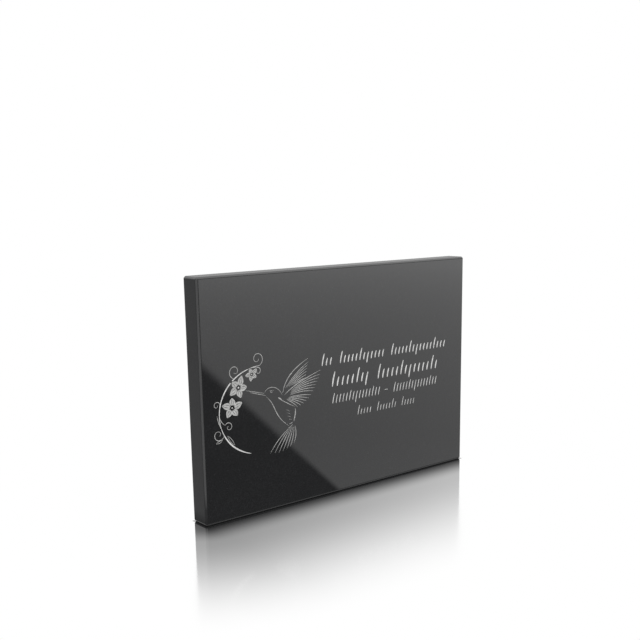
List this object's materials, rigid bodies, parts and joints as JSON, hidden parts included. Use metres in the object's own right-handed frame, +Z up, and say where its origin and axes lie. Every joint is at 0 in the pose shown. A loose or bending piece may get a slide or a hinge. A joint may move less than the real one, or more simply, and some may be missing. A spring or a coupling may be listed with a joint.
{
  "type": "headstone",
  "caption": "Upright rectangular memorial tablet of polished black stone with chamfered edges and a front engraved with a vine, a bird and rows of strokes.",
  "frame": {"origin": "middle of the underside, on the surface that the tablet stands on", "axes": "+Z up, the engraved front looks along -Y, +X towards the inscription's end of the width"},
  "size_m": [0.305, 0.02, 0.203],
  "materials": {
    "granite": "black granite polished to a mirror on every face but the sawn underside, with frosted light grey engraving"
  },
  "bodies": {
    "root": {"tablet": "granite"}
  },
  "joints": []
}
